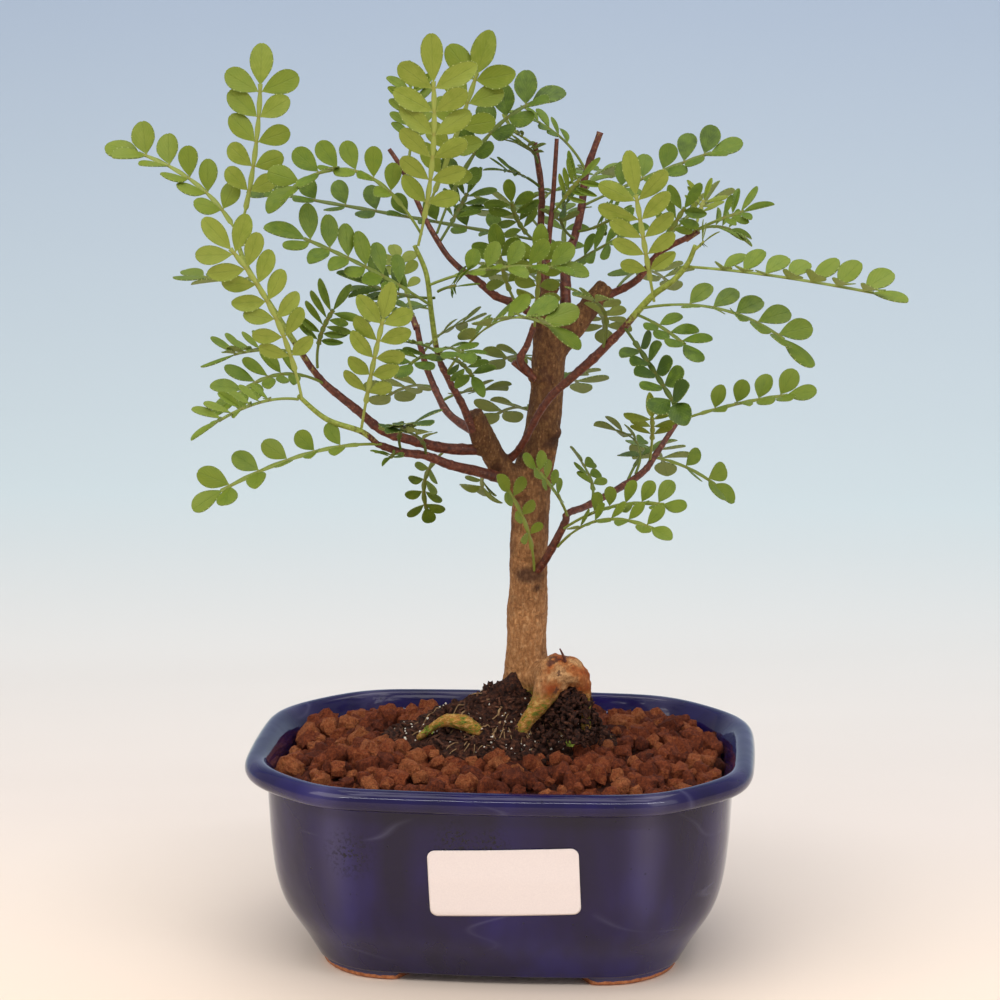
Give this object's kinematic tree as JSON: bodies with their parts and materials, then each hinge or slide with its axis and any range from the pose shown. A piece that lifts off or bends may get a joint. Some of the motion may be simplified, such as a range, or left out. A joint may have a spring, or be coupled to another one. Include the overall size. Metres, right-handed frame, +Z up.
{
  "type": "potted bonsai tree",
  "caption": "Small leaning chinese pepper bonsai with feathery fronds, a peat root ball and clay granules in a glazed octagonal footed pot.",
  "frame": {"origin": "on the table under the middle of the pot, which is also the middle of the plant's box", "axes": "+X to the viewer's right along the pot's long side, +Y away from the viewer, +Z up"},
  "size_m": [0.2213, 0.1594, 0.2667],
  "materials": {
    "cobalt_glaze": "dark cobalt blue gloss glaze with unglazed terracotta feet",
    "label_paper": "plain pale paper, blank",
    "clay_granules": "matt red-brown clay granules",
    "peat": "matt dark peat with fine roots",
    "bark": "tan to dark brown bark with pale lenticels",
    "leaf": "satin green leaf, paler underneath"
  },
  "bodies": {
    "root": {"pot": "cobalt_glaze", "blank_label": "label_paper", "granule_soil": "clay_granules", "root_ball": "peat", "trunk_and_branches": "bark", "shoot_far_left": "leaf", "shoot_low_left": "leaf", "shoot_top_left": "leaf", "shoot_top": "leaf", "shoot_middle": "leaf", "shoot_right": "leaf", "spray_right": "leaf", "spray_back_left": "leaf", "frond_left_b": "leaf", "frond_arching": "leaf", "frond_dark_long": "leaf", "frond_top_a": "leaf", "frond_top_b": "leaf", "frond_upright": "leaf", "frond_twig_a": "leaf", "frond_twig_b": "leaf", "frond_twig_c": "leaf", "frond_twig_d": "leaf", "frond_right_a": "leaf", "frond_right_b": "leaf", "frond_right_top": "leaf", "frond_right_c": "leaf", "frond_inner_a": "leaf", "frond_inner_b": "leaf", "frond_inner_c": "leaf", "frond_inner_d": "leaf", "frond_inner_e": "leaf", "frond_trunk_a": "leaf", "frond_trunk_b": "leaf", "frond_low_a": "leaf", "frond_low_b": "leaf", "frond_low_c": "leaf", "frond_low_d": "leaf", "frond_low_e": "leaf", "frond_low_f": "leaf", "frond_low_g": "leaf", "frond_back_a": "leaf", "frond_back_b": "leaf", "frond_back_c": "leaf", "frond_back_d": "leaf", "frond_back_e": "leaf", "frond_back_f": "leaf", "frond_front": "leaf", "frond_inner_f": "leaf", "frond_right_d": "leaf", "frond_right_e": "leaf", "frond_rear_a": "leaf", "frond_rear_b": "leaf", "frond_rear_c": "leaf", "frond_rear_d": "leaf", "frond_rear_e": "leaf", "frond_rear_f": "leaf", "frond_rear_g": "leaf"}
  },
  "joints": []
}
